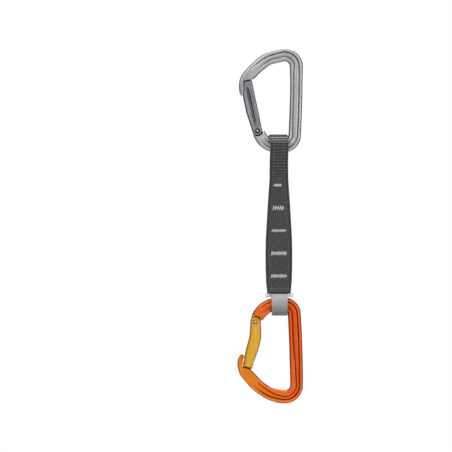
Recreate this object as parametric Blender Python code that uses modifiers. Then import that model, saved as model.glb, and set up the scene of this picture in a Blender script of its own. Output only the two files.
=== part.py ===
"""A climbing quickdraw: two forged carabiners joined by a sewn webbing sling.

Metres, +Z up. The origin is the hang point, inside the crown of the upper carabiner. Both carabiners lie
in the XZ plane with their gates on the -X side, and the front of the quickdraw faces -Y.
"""

import math

import bmesh
import bpy
from mathutils import Matrix, Vector

MM = 0.001
GAP = 0.3 * MM  # left between pieces that touch
SWING_GAP = 0.4 * MM  # between a gate and its frame
SAMPLES_PER_STATION = 2  # rings of a forged frame between two of its stations
ROUND_SEGMENTS = 20  # sides of a small round piece
WELD = 0.01 * MM  # points closer than this are one point
SMALL_EDGE = 0.3 * MM  # the bevel on the small pieces

# A carabiner is described in millimetres in the XZ plane. A frame's stations run from the nose to the
# hinge: (x, z, width in the plane, thickness along Y, depth of the channel on each face).
BAR_W = 12.2
CROWN_W = 12.9
LOWER_SPINE_W = 12.8
BAR_T = 9.8
CHANNEL = 2.2

UPPER_PIVOT = (-25.8, -67.5)
UPPER_GATE_REACH = 50.0  # from the pivot to the gate's free end
UPPER_FORK_R = 4.9  # of the gate's round end at the hinge
UPPER_OPENING_DEG = 28.0
LOWER_PIVOT = (-27.6, -252.2)
LOWER_GATE_REACH = 46.0
LOWER_FORK_R = 5.3
LOWER_OPENING_DEG = 30.0

# The hinge and the keylock nose, the same on both carabiners, in millimetres
GATE_T = 9.0
GATE_EDGE_R = 2.2
TANG_T = 3.4
TANG_R = 4.4
TANG_FLAT = 3.5  # from the pivot to the flat that the plunger rests on
TANG_HALF_WIDTH = 3.9
TANG_STEM = 9.0  # from the pivot into the frame
FORK_SLOT_T = TANG_T + 0.8
FORK_FLOOR = 4.9
SWING_ROOM_FROM = 1.0  # the stretch of the gate, from its pivot, that the frame is cut clear of as it swings
SWING_ROOM_TO = 30.0
SWING_ROOM_HALF_WIDTH = 6.1
RIVET_R = 1.5
RIVET_HEAD_R = 2.5
RIVET_HEAD_T = 0.7
RIVET_PROUD = 0.2  # how far each head stands out of the gate's face
RIVET_EDGE = 0.3
RIVET_SINK_GAP = 0.1  # under each head
KEY_NECK_T = 2.6
KEY_HEAD_R = 2.3
KEY_DEPTH = 6.5  # from the gate's free end to the middle of the key's round head
KEY_NECK_PAST = 4.0  # how far the neck runs on past the gate's free end, into the frame
KEYHOLE_OUTWARD_DEG = 8.0  # how far the gate's keyhole goes past the key, each way
KEYHOLE_INWARD_DEG = 12.0
SEAT_INWARD_DEG = 7.0  # how far the frame's seat goes on past the gate, so that the gate can swing in
PLUNGER_R = 1.3
PLUNGER_LENGTH = 5.2
SPRING_BORE_R = 1.7
SPRING_BORE_FROM = 3.0  # from the pivot
SPRING_BORE_DEPTH = 18.5
SPRING_R = 1.15
SPRING_WIRE_R = 0.22
SPRING_TURNS = 8
SPRING_STEPS_PER_TURN = 9

# The sling, in millimetres. Its two end loops go round the carabiners' bars.
SLING_X = -5.0
PLY_T = 1.9
PLY_GAP = 0.3
TOP_BAR_Z = -81.6
TOP_LOOP_R = 9.0  # inner half-width of the upper loop
LOW_BAR_Z = -235.4
LOW_LOOP_RY = 7.1
LOW_LOOP_RZ = 7.6
SEWN_TOP_Z = -113.0
SEWN_BOTTOM_Z = -213.0
# Width of the band down its length: (z, width)
SLING_WIDTHS = (
    (-70.0, 17.0),
    (-84.0, 17.4),
    (-100.0, 17.8),
    (-114.0, 18.2),
    (-140.0, 21.7),
    (-172.0, 25.5),
    (-186.0, 26.0),
    (-200.0, 25.8),
    (-214.0, 24.9),
    (-224.4, 22.8),
    (-224.8, 10.6),
    (-246.0, 10.6),
)
# Bar tacks: (x, z, width)
BAR_TACKS = (
    (-6.1, -120.0, 8.2),
    (-5.5, -142.1, 11.6),
    (-5.0, -164.1, 14.6),
    (-5.0, -186.1, 16.0),
    (-5.0, -208.1, 16.0),
)
TACK_HEIGHT = 3.4
TACK_PROUD = 0.4

# The rubber keeper over the lower loop, in millimetres
KEEPER_X = -4.4
KEEPER_TOP_Z = -225.2
KEEPER_BOTTOM_Z = -246.6
KEEPER_WALL = 1.2
KEEPER_TOP_W = 15.8
KEEPER_BOTTOM_W = 15.0
KEEPER_MOUTH_RY = 8.6
KEEPER_BAR_HOLE_R = 9.2
KEEPER_HIP_Z = LOW_BAR_Z + 5.0  # where its sides start to close in towards the mouth
KEEPER_TAPER = 0.6  # how far they have closed in by then
KEEPER_EDGE_R = 0.8
POCKET_LIFT = 6.0  # how far the pocket's cutter runs on out of the mouth
TAB_SPAN = 28.2
TAB_HEIGHT = 2.7  # beside the pocket, where the swinging carabiner passes
TAB_TIP_HEIGHT = 4.0
TAB_T = 4.0
TAB_EDGE_R = 0.6


# ---------------------------------------------------------------- small helpers


def start_empty():
    for obj in list(bpy.data.objects):
        bpy.data.objects.remove(obj)


def collection(name):
    made = bpy.data.collections.new(name)
    bpy.context.scene.collection.children.link(made)
    return made


def material(name, colour, roughness, metallic=0.0):
    made = bpy.data.materials.new(name)
    made.use_nodes = True
    shader = made.node_tree.nodes["Principled BSDF"]
    shader.inputs["Base Color"].default_value = (*colour, 1.0)
    shader.inputs["Roughness"].default_value = roughness
    shader.inputs["Metallic"].default_value = metallic
    return made


def add_object(name, mesh, home):
    obj = bpy.data.objects.new(name, mesh)
    home.objects.link(obj)
    return obj


def point(x, z, y=0.0):
    """A place given in millimetres."""
    return Vector((x, y, z)) * MM


def smooth_through(stations, samples):
    """A Catmull-Rom curve through the stations, whose numbers are all carried along it."""
    ends = [stations[0]] + list(stations) + [stations[-1]]
    curve = []
    for before, start, end, after in zip(ends, ends[1:], ends[2:], ends[3:]):
        for i in range(samples):
            t = i / samples
            curve.append(
                tuple(
                    0.5
                    * (
                        2 * b
                        + (c - a) * t
                        + (2 * a - 5 * b + 4 * c - d) * t * t
                        + (3 * b - a - 3 * c + d) * t**3
                    )
                    for a, b, c, d in zip(before, start, end, after)
                )
            )
    curve.append(tuple(stations[-1]))
    return curve


def arc(centre, radius, start_deg, end_deg, steps):
    """Points along an arc in the XZ plane. 0 degrees is +X and 90 is +Z."""
    turns = [start_deg + (end_deg - start_deg) * i / steps for i in range(steps + 1)]
    return [
        (centre[0] + radius * math.cos(math.radians(t)), centre[1] + radius * math.sin(math.radians(t)))
        for t in turns
    ]


def loft(name, rings, home, closed=False):
    """A solid through rings of points that all have the same count, capped unless it closes on itself."""
    bm = bmesh.new()
    rows = [[bm.verts.new(p) for p in ring] for ring in rings]
    pairs = list(zip(rows, rows[1:]))
    if closed:
        pairs.append((rows[-1], rows[0]))
    for row, following in pairs:
        for i in range(len(row)):
            j = (i + 1) % len(row)
            bm.faces.new((row[i], row[j], following[j], following[i]))
    if not closed:
        bm.faces.new(rows[0])
        bm.faces.new(rows[-1])
    bmesh.ops.recalc_face_normals(bm, faces=bm.faces)
    mesh = bpy.data.meshes.new(name)
    bm.to_mesh(mesh)
    bm.free()
    return add_object(name, mesh, home)


def outline_solid(name, outline, half_thickness, home, edge_r=0.0):
    """A flat outline in the XZ plane, in millimetres, thickened along Y, with rounded edges."""
    curve = bpy.data.curves.new(name, "CURVE")
    curve.dimensions = "2D"
    curve.fill_mode = "BOTH"
    curve.extrude = (half_thickness - edge_r) * MM
    curve.bevel_depth = edge_r * MM
    curve.offset = -edge_r * MM
    curve.bevel_resolution = 2
    spline = curve.splines.new("POLY")
    spline.points.add(len(outline) - 1)
    for spot, (x, z) in zip(spline.points, outline):
        spot.co = (x * MM, z * MM, 0.0, 1.0)
    spline.use_cyclic_u = True
    flat = add_object(name, curve, home)
    flat.rotation_euler = (math.pi / 2, 0.0, 0.0)
    return as_mesh(flat, home)


def as_mesh(curve_object, home):
    """The same shape as a mesh with its caps welded on."""
    bpy.context.view_layer.update()
    name = curve_object.name
    seen = curve_object.evaluated_get(bpy.context.evaluated_depsgraph_get())
    mesh = bpy.data.meshes.new_from_object(seen)
    place = curve_object.matrix_world.copy()
    bpy.data.objects.remove(curve_object)
    bm = bmesh.new()
    bm.from_mesh(mesh)
    bmesh.ops.remove_doubles(bm, verts=bm.verts, dist=WELD)
    bmesh.ops.recalc_face_normals(bm, faces=bm.faces)
    bm.to_mesh(mesh)
    bm.free()
    made = add_object(name, mesh, home)
    made.matrix_world = place
    return made


def cylinder(name, radius, start, end, home, segments=ROUND_SEGMENTS):
    """A round bar from start to end, in metres."""
    bm = bmesh.new()
    length = (end - start).length
    bmesh.ops.create_cone(
        bm, cap_ends=True, segments=segments, radius1=radius, radius2=radius, depth=length
    )
    mesh = bpy.data.meshes.new(name)
    bm.to_mesh(mesh)
    bm.free()
    made = add_object(name, mesh, home)
    turn = (end - start).to_track_quat("Z", "Y").to_matrix().to_4x4()
    made.matrix_world = Matrix.Translation((start + end) / 2) @ turn
    return made


def box(name, low, high, home):
    """A box between two corners, in millimetres."""
    bm = bmesh.new()
    bmesh.ops.create_cube(bm, size=1.0)
    low, high = Vector(low) * MM, Vector(high) * MM
    bmesh.ops.scale(bm, vec=high - low, verts=bm.verts)
    bmesh.ops.translate(bm, vec=(low + high) / 2, verts=bm.verts)
    mesh = bpy.data.meshes.new(name)
    bm.to_mesh(mesh)
    bm.free()
    return add_object(name, mesh, home)


def boolean(target, tool, operation, solver="EXACT"):
    tool.hide_render = True
    tool.display_type = "WIRE"
    step = target.modifiers.new(tool.name, "BOOLEAN")
    step.operation = operation
    step.solver = solver
    step.object = tool


def turned_about(obj, pivot, angle_deg):
    """Turns an object about a Y axis through the pivot."""
    swing = Matrix.Rotation(math.radians(angle_deg), 4, "Y")
    centre = Matrix.Translation(point(*pivot))
    obj.matrix_world = centre @ swing @ centre.inverted() @ obj.matrix_world


def set_origin(obj, place):
    """Moves an object's origin and leaves its shape where it is."""
    obj.data.transform(Matrix.Translation(-place) @ obj.matrix_world)
    obj.matrix_world = Matrix.Translation(place)


def finish_piece(obj, look, round_deg=35.0):
    obj.data.materials.clear()
    obj.data.materials.append(look)
    obj.data.shade_smooth()
    obj.data.set_sharp_from_angle(angle=math.radians(round_deg))


# ---------------------------------------------------------------- forged frames


def bar_section(width, thickness, channel):
    """A rounded bar with a channel in each face, as (across, along Y) points round the bar."""
    half_w, half_t = width / 2, thickness / 2
    quarter = [
        (1.0, 0.0),
        (0.97, 0.48),
        (0.86, 0.84),
        (0.64, 1.0),
        (0.46, 1.0 - 0.35 * channel / half_t),
        (0.32, 1.0 - channel / half_t),
    ]
    corner = [(u * half_w, v * half_t) for u, v in quarter]
    floor = [(0.0, half_t - channel)]
    front = corner + floor + [(-u, v) for u, v in reversed(corner)]
    return front + [(u, -v) for u, v in reversed(front[1:-1])]


def forged_frame(name, stations, home):
    curve = smooth_through(stations, SAMPLES_PER_STATION)
    rings = []
    for i, (x, z, width, thickness, channel) in enumerate(curve):
        before, after = curve[max(i - 1, 0)], curve[min(i + 1, len(curve) - 1)]
        along = Vector((after[0] - before[0], after[1] - before[1])).normalized()
        section = bar_section(width, thickness, channel)
        rings.append([point(x + u * along.y, z - u * along.x, v) for u, v in section])
    return loft(name, rings, home)


def upper_stations():
    plain = (BAR_W, BAR_T, CHANNEL)
    nose = [
        (-40.7, -33.2, 1.8, 4.0, 0.0),
        (-41.3, -31.2, 3.0, 6.2, 0.0),
        (-41.4, -27.6, 4.8, 8.2, 0.0),
        (-39.8, -22.5, 8.4, 9.2, 0.0),
        (-37.0, -17.4, 11.4, 9.4, 0.0),
        (-32.4, -11.8, 12.2, 9.6, 0.1),
    ]
    shoulder = [(-25.6, -5.1, BAR_W, BAR_T, 1.2), (-15.8, 2.3, 12.6, BAR_T, CHANNEL)]
    crown = [(*p, CROWN_W, BAR_T, CHANNEL) for p in arc((0.35, -5.0), 11.5, 112, 0, 5)]
    spine = [(11.9, -20.0, *plain), (11.7, -36.0, *plain), (11.1, -53.0, *plain)]
    corner = [(*p, *plain) for p in arc((0.1, -71.5), 10.2, 0, -90, 4)]
    basket = [
        (-5.6, -82.1, 12.4, BAR_T, 1.7),
        (-10.5, -81.8, 12.5, BAR_T, 1.7),
        (-14.9, -80.3, 12.5, BAR_T, 1.7),
        (-19.4, -77.1, 12.5, BAR_T, 1.1),
        (-22.5, -73.1, 12.2, 9.6, 0.1),
        (-24.3, -69.9, 11.8, 9.5, 0.0),
        (-25.6, -66.9, 11.2, 9.4, 0.0),
    ]
    return nose + shoulder + crown + spine + corner + basket


def lower_stations():
    plain = (LOWER_SPINE_W, BAR_T, CHANNEL)
    nose = [
        (-40.4, -284.8, 2.0, 4.0, 0.0),
        (-41.6, -286.3, 3.8, 6.2, 0.0),
        (-42.4, -290.3, 5.4, 8.2, 0.0),
        (-41.3, -295.2, 7.8, 9.2, 0.0),
        (-38.0, -300.9, 11.2, 9.4, 0.0),
        (-32.6, -307.0, 12.2, 9.6, 0.1),
    ]
    slope = [
        (-25.9, -314.1, BAR_W, BAR_T, 1.2),
        (-15.9, -321.1, BAR_W, BAR_T, CHANNEL),
        (-6.7, -324.2, 12.3, BAR_T, CHANNEL),
    ]
    basket = [(*p, 12.4, BAR_T, CHANNEL) for p in arc((1.0, -314.0), 11.1, -90, 0, 4)]
    spine = [(11.9, -296.0, *plain), (11.45, -279.8, *plain), (10.8, -262.0, *plain)]
    corner = [(*p, 12.7, BAR_T, CHANNEL) for p in arc((0.0, -245.0), 9.85, 0, 90, 4)]
    shoulder = [
        (-6.0, -235.4, 12.0, BAR_T, 1.7),
        (-13.4, -236.5, 12.4, BAR_T, 1.7),
        (-19.4, -240.2, 12.8, BAR_T, 1.1),
        (-23.9, -245.0, 12.4, 9.5, 0.1),
        (-26.0, -248.9, 11.8, 9.4, 0.0),
        (-27.0, -252.0, 11.6, 9.4, 0.0),
    ]
    return nose + slope + basket + spine + corner + shoulder


# ---------------------------------------------------------------- gates


def upper_gate_outline(grow=0.0, inward_deg=0.0):
    """The straight gate from the front. The free end is an arc about the pivot, carried on by inward_deg."""
    steps = 4 if inward_deg == 0.0 else 7
    free_end = arc(UPPER_PIVOT, UPPER_GATE_REACH + grow, 105.7, 97.0 - inward_deg, steps)
    fork_end = arc(UPPER_PIVOT, UPPER_FORK_R + grow, -10.0, -150.0, 7)
    outer = [(-36.6 - grow, -50.0), (-39.6 - grow, -36.2), (-39.9 - grow, -33.5)]
    inner = [(-31.0 + grow, -19.4), (-27.6 + grow, -36.2), (-24.5 + grow, -50.0)]
    return [*outer, *free_end, *inner, *fork_end]


def lower_gate_outline(grow=0.0, inward_deg=0.0):
    """The bent gate from the front. The free end is an arc about the pivot, carried on by inward_deg."""
    steps = 4 if inward_deg == 0.0 else 7
    fork_end = arc(LOWER_PIVOT, LOWER_FORK_R + grow, 180.0, 0.0, 7)
    free_end = arc(LOWER_PIVOT, LOWER_GATE_REACH + grow, -94.4 + inward_deg, -105.4, steps)
    inner = [
        (-22.0 + grow, -266.0),
        (-22.9 + grow, -272.0),
        (-25.0 + grow, -280.0),
        (-27.7 + grow, -287.6),
        (-30.6 + grow, -296.4),
    ]
    outer = [
        (-39.7 - grow, -294.0),
        (-37.4 - grow, -280.8),
        (-34.4 - grow, -269.6),
        (-33.3 - grow, -264.0),
    ]
    return [*fork_end, *inner, *free_end, *outer]


def key_sector(name, pivot, reach, start_deg, end_deg, grow, home):
    """The keylock key: a neck with a round head, turned about the gate's pivot so that the gate clears it."""
    head = reach - KEY_DEPTH
    neck = KEY_NECK_T / 2 + grow
    head_r = KEY_HEAD_R + grow
    meet = math.degrees(math.asin(neck / head_r))
    bends = [90.0 - meet - (360.0 - 2 * meet) * i / 10 for i in range(11)]
    profile = [
        (head_r * math.sin(math.radians(90.0 - b)), head + head_r * math.sin(math.radians(b)))
        for b in bends
    ]
    outside = reach + KEY_NECK_PAST
    profile = [(neck, outside), *profile, (-neck, outside)]
    rings = []
    for i in range(5):
        turn = math.radians(start_deg + (end_deg - start_deg) * i / 4)
        rings.append(
            [
                point(pivot[0] + r * math.cos(turn), pivot[1] + r * math.sin(turn), y)
                for y, r in profile
            ]
        )
    return loft(name, rings, home)


def tang_outline(pivot, gate_deg, stem_deg):
    """The plate between the fork's ears, with a flat for the plunger on its gate side."""
    half_flat = math.degrees(math.acos(TANG_FLAT / TANG_R))
    hip = math.degrees(math.acos(TANG_HALF_WIDTH / TANG_R))
    stem = Vector((math.cos(math.radians(stem_deg)), math.sin(math.radians(stem_deg))))
    side = Vector((-stem.y, stem.x)) * TANG_HALF_WIDTH
    root = Vector(pivot) + stem * TANG_STEM
    flat_deg = stem_deg + (gate_deg - stem_deg) % 360.0
    before = arc(pivot, TANG_R, stem_deg + 90.0 - hip, flat_deg - half_flat, 3)
    after = arc(pivot, TANG_R, flat_deg + half_flat, stem_deg + 270.0 + hip, 3)
    return [tuple(root + side), *before, *after, tuple(root - side)]


def carabiner(prefix, stations, outline, pivot, reach, turns, looks, homes):
    """Builds one carabiner: its frame, gate, rivet, plunger and spring.

    turns holds the closed gate's direction, the tang's stem's direction, how far the gate opens, and the
    two ends of the key's sweep about the pivot, all in degrees.
    """
    gate_deg, stem_deg, opening_deg, sweep = turns
    parts, tools = homes
    frame = forged_frame(f"{prefix}_frame", stations, parts)
    centre = point(*pivot)
    along = Vector((math.cos(math.radians(gate_deg)), 0.0, math.sin(math.radians(gate_deg))))
    gate_space = outline(SWING_GAP / MM, SEAT_INWARD_DEG)
    closed_space = outline_solid(f"{prefix}_gate_space", gate_space, 2 * GATE_T, tools)
    boolean(frame, closed_space, "DIFFERENCE")
    for share in (0.5, 1.0):
        size = (SWING_ROOM_FROM, SWING_ROOM_TO, SWING_ROOM_HALF_WIDTH, GATE_T)
        room = slab(f"{prefix}_swing_room_{share}", centre, along, size, tools)
        turned_about(room, pivot, opening_deg * share)
        boolean(frame, room, "DIFFERENCE", "MANIFOLD")  # a grazing cut, which EXACT loses
    tang = outline_solid(f"{prefix}_tang", tang_outline(pivot, gate_deg, stem_deg), TANG_T / 2, tools)
    boolean(frame, tang, "UNION")
    key = key_sector(f"{prefix}_key", pivot, reach, *sweep, 0.0, tools)
    boolean(frame, key, "UNION")

    depth = Vector((0.0, GATE_T * MM, 0.0))
    rivet_hole = cylinder(
        f"{prefix}_rivet_hole", RIVET_R * MM + GAP, centre - depth, centre + depth, tools
    )
    boolean(frame, rivet_hole, "DIFFERENCE")

    gate = outline_solid(f"{prefix}_gate", outline(), GATE_T / 2, parts, GATE_EDGE_R)
    size = (-GATE_T, FORK_FLOOR, GATE_T, FORK_SLOT_T / 2)
    slot = slab(f"{prefix}_fork_slot", centre, along, size, tools)
    boolean(gate, slot, "DIFFERENCE")
    boolean(gate, rivet_hole, "DIFFERENCE")
    for face, word in ((-1.0, "front"), (1.0, "back")):
        inner = centre + Vector((0.0, face * (GATE_T / 2 - RIVET_HEAD_T - RIVET_SINK_GAP) * MM, 0.0))
        sink = cylinder(
            f"{prefix}_rivet_sink_{word}", RIVET_HEAD_R * MM + GAP, inner, centre + face * depth, tools
        )
        boolean(gate, sink, "DIFFERENCE")
    bore = cylinder(
        f"{prefix}_spring_bore",
        SPRING_BORE_R * MM,
        centre + along * SPRING_BORE_FROM * MM,
        centre + along * SPRING_BORE_DEPTH * MM,
        tools,
    )
    boolean(gate, bore, "DIFFERENCE")
    outward = math.copysign(1.0, sweep[0] - sweep[1])
    widest = (sweep[0] + outward * KEYHOLE_OUTWARD_DEG, sweep[1] - outward * KEYHOLE_INWARD_DEG)
    keyhole = key_sector(f"{prefix}_keyhole", pivot, reach, *widest, SWING_GAP / MM, tools)
    boolean(gate, keyhole, "DIFFERENCE")

    rivet = turned_rivet(f"{prefix}_gate_rivet", centre, parts)
    plunger = gate_plunger(f"{prefix}_gate_plunger", centre, along, parts)
    spring = gate_spring(f"{prefix}_gate_spring", centre, along, parts)

    finish_piece(frame, looks["frame"])
    finish_piece(gate, looks["gate"])
    for piece in (rivet, plunger, spring):
        finish_piece(piece, looks["steel"])
    for piece in (frame, gate):
        set_origin(piece, centre)


def slab(name, centre, along, size, home):
    """A box lying along the gate: from, to, half-width in the plane and half-thickness, in millimetres."""
    low, high, half_width, half_thickness = size
    across = Vector((along.z, 0.0, -along.x))
    corners = ((low, -half_width), (high, -half_width), (high, half_width), (low, half_width))
    rings = []
    for y in (-half_thickness, half_thickness):
        offset = Vector((0.0, y, 0.0))
        rings.append([centre + (along * a + across * c + offset) * MM for a, c in corners])
    return loft(name, rings, home)


def turned_rivet(name, centre, home):
    """A rivet along Y with a flat head at each end."""
    half = GATE_T / 2 + RIVET_PROUD
    under = half - RIVET_HEAD_T + RIVET_SINK_GAP
    profile = [
        (0.0, half),
        (RIVET_HEAD_R - RIVET_EDGE, half),
        (RIVET_HEAD_R, half - RIVET_EDGE),
        (RIVET_HEAD_R, under),
        (RIVET_R, under),
    ]
    profile += [(r, -y) for r, y in reversed(profile)]
    bm = bmesh.new()
    spots = [bm.verts.new((r * MM, 0.0, y * MM)) for r, y in profile]
    for first, second in zip(spots, spots[1:]):
        bm.edges.new((first, second))
    mesh = bpy.data.meshes.new(name)
    bm.to_mesh(mesh)
    bm.free()
    made = add_object(name, mesh, home)
    screw = made.modifiers.new("turned", "SCREW")
    screw.steps = ROUND_SEGMENTS
    screw.render_steps = ROUND_SEGMENTS
    screw.use_merge_vertices = True
    screw.merge_threshold = WELD
    made.matrix_world = Matrix.Translation(centre) @ Matrix.Rotation(math.pi / 2, 4, "X")
    return made


def gate_plunger(name, centre, along, home):
    """The pin that the spring presses on to the tang's flat."""
    tip = TANG_FLAT + GAP / MM
    made = cylinder(
        name,
        PLUNGER_R * MM,
        centre + along * tip * MM,
        centre + along * (tip + PLUNGER_LENGTH) * MM,
        home,
        16,
    )
    edge = made.modifiers.new("rounded_ends", "BEVEL")
    edge.width = SMALL_EDGE
    edge.segments = 1
    return made


def gate_spring(name, centre, along, home):
    """A coil spring in the gate's blind bore, between the plunger and the bore's end."""
    start = TANG_FLAT + PLUNGER_LENGTH + 3 * GAP / MM + SPRING_WIRE_R
    length = SPRING_BORE_DEPTH - GAP / MM - SPRING_WIRE_R - start
    count = SPRING_TURNS * SPRING_STEPS_PER_TURN + 1
    curve = bpy.data.curves.new(name, "CURVE")
    curve.dimensions = "3D"
    curve.bevel_depth = SPRING_WIRE_R * MM
    curve.bevel_resolution = 1
    curve.use_fill_caps = True
    spline = curve.splines.new("POLY")
    spline.points.add(count - 1)
    for i, spot in enumerate(spline.points):
        turn = 2 * math.pi * i / SPRING_STEPS_PER_TURN
        rise = start + length * i / (count - 1)
        spot.co = (
            SPRING_R * math.cos(turn) * MM,
            SPRING_R * math.sin(turn) * MM,
            rise * MM,
            1.0,
        )
    coil = add_object(name, curve, home)
    coil.matrix_world = Matrix.Translation(centre) @ along.to_track_quat("Z", "Y").to_matrix().to_4x4()
    return as_mesh(coil, home)


# ---------------------------------------------------------------- sling and keeper


def sling_width(z):
    """The band's width at a height, in millimetres."""
    for (high, wide), (low, narrow) in zip(SLING_WIDTHS, SLING_WIDTHS[1:]):
        if z >= low:
            share = min(max((high - z) / (high - low), 0.0), 1.0)
            return wide + (narrow - wide) * share
    return SLING_WIDTHS[-1][1]


def ease(share):
    return share * share * (3 - 2 * share)


def sling_side():
    """The middle of the front ply from the top of the upper loop to the bottom of the lower one: (y, z)."""
    sewn = PLY_GAP / 2 + PLY_T / 2
    top = TOP_LOOP_R + PLY_T / 2
    path = []
    for i in range(6):
        turn = math.radians(90 + 15 * i)
        path.append((top * math.cos(turn), TOP_BAR_Z + top * math.sin(turn)))
    for i in range(9):
        share = i / 8
        z = TOP_BAR_Z - 1.0 + (SEWN_TOP_Z - TOP_BAR_Z + 1.0) * share
        path.append((-top + (top - sewn) * ease(share), z))
    for z in (-130.0, -150.0, -172.0, -190.0, -205.0):
        path.append((-sewn, z))
    low_y, low_z = LOW_LOOP_RY + PLY_T / 2, LOW_LOOP_RZ + PLY_T / 2
    for z in (SEWN_BOTTOM_Z, -216.0, -219.0, -222.0, -224.4, -224.8, -228.0, -231.0, LOW_BAR_Z + 1.0):
        share = (z - SEWN_BOTTOM_Z) / (LOW_BAR_Z + 1.0 - SEWN_BOTTOM_Z)
        path.append((-sewn - (low_y - sewn) * ease(share), z))
    for i in range(7):
        turn = math.radians(180 + 15 * i)
        path.append((low_y * math.cos(turn), LOW_BAR_Z + low_z * math.sin(turn)))
    return path


def sling_webbing(home, tools):
    """One band of webbing round both bars, as four corners at each place along it."""
    front = sling_side()
    path = front + [(-y, z) for y, z in reversed(front[1:-1])]
    rings = []
    for i, (y, z) in enumerate(path):
        before, after = path[i - 1], path[(i + 1) % len(path)]
        along = Vector((after[0] - before[0], after[1] - before[1])).normalized()
        half = sling_width(z) / 2
        shift = Vector((-along.y, along.x)) * PLY_T / 2
        rings.append(
            [
                point(SLING_X + side * half, z + face * shift.y, y + face * shift.x)
                for side, face in ((-1, -1), (1, -1), (1, 1), (-1, 1))
            ]
        )
    band = loft("sling_webbing", rings, home, closed=True)
    for i, (x, z, width) in enumerate(BAR_TACKS, start=1):
        reach = PLY_T * 2 + PLY_GAP
        grow = GAP / MM
        hole = box(
            f"tack_hole_{i}",
            (x - width / 2 - grow, -reach, z - TACK_HEIGHT / 2 - grow),
            (x + width / 2 + grow, reach, z + TACK_HEIGHT / 2 + grow),
            tools,
        )
        boolean(band, hole, "DIFFERENCE")
    return band


def bar_tack(name, x, z, width, home):
    """A block of zig-zag stitching through both plies."""
    reach = PLY_T + PLY_GAP / 2 + TACK_PROUD
    made = box(
        name,
        (x - width / 2, -reach, z - TACK_HEIGHT / 2),
        (x + width / 2, reach, z + TACK_HEIGHT / 2),
        home,
    )
    edge = made.modifiers.new("soft_edges", "BEVEL")
    edge.width = SMALL_EDGE
    edge.segments = 1
    return made


def keeper_side(grow):
    """The keeper's outline seen from the side, open-topped: (y, z) from mouth to mouth."""
    half = LOW_LOOP_RY + PLY_T + GAP / MM + KEEPER_WALL + grow
    mouth = KEEPER_MOUTH_RY + grow
    depth = LOW_BAR_Z - KEEPER_BOTTOM_Z + grow
    bowl = [
        (half * math.cos(math.radians(t)), LOW_BAR_Z + depth * math.sin(math.radians(t)))
        for t in range(0, -181, -15)
    ]
    hip = half - KEEPER_TAPER
    left, right = (-mouth, KEEPER_TOP_Z), (mouth, KEEPER_TOP_Z)
    return [right, (hip, KEEPER_HIP_Z), *bowl, (-hip, KEEPER_HIP_Z), left]


def keeper_solid(name, grow, lift, home):
    """The keeper's side outline carried across it, narrower at the bottom."""
    rings = []
    for side in (-1.0, 1.0):
        ring = []
        for y, z in keeper_side(grow):
            share = (KEEPER_TOP_Z - z) / (KEEPER_TOP_Z - KEEPER_BOTTOM_Z)
            half = (KEEPER_TOP_W + (KEEPER_BOTTOM_W - KEEPER_TOP_W) * share) / 2 + grow
            up = lift if z >= KEEPER_TOP_Z else 0.0
            ring.append(point(KEEPER_X + side * half, z + up, y))
        rings.append(ring)
    return loft(name, rings, home)


def tab_outline():
    """Both side tabs as one strip across the keeper's mouth, drooping a little at the tips."""
    right = [
        (KEEPER_TOP_W / 2, -TAB_HEIGHT),
        (TAB_SPAN / 2 - 1.8, -TAB_TIP_HEIGHT),
        (TAB_SPAN / 2 - 0.4, -TAB_TIP_HEIGHT + 0.8),
        (TAB_SPAN / 2, -TAB_TIP_HEIGHT / 2),
        (TAB_SPAN / 2 - 0.9, -0.3),
        (TAB_SPAN / 2 - 2.2, 0.0),
    ]
    whole = right + [(-x, z) for x, z in reversed(right)]
    return [(KEEPER_X + x, KEEPER_TOP_Z + z) for x, z in whole]


def rubber_keeper(home, tools):
    """A rubber pocket over the sling's lower loop, with a hole through its sides for the carabiner's bar."""
    body = keeper_solid("rubber_keeper", 0.0, 0.0, home)
    edge = body.modifiers.new("soft_edges", "BEVEL")
    edge.width = KEEPER_EDGE_R * MM
    edge.segments = 2
    edge.limit_method = "ANGLE"
    edge.angle_limit = math.radians(50)
    bar_hole = cylinder(
        "keeper_bar_hole",
        KEEPER_BAR_HOLE_R * MM,
        point(KEEPER_X - TAB_SPAN, LOW_BAR_Z),
        point(KEEPER_X + TAB_SPAN, LOW_BAR_Z),
        tools,
        32,
    )
    boolean(body, bar_hole, "DIFFERENCE")
    tabs = outline_solid("keeper_tabs", tab_outline(), TAB_T / 2, tools, TAB_EDGE_R)
    boolean(body, tabs, "UNION")
    pocket = keeper_solid("keeper_pocket", -KEEPER_WALL, POCKET_LIFT, tools)
    boolean(body, pocket, "DIFFERENCE")
    return body


# ---------------------------------------------------------------- the quickdraw


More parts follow.
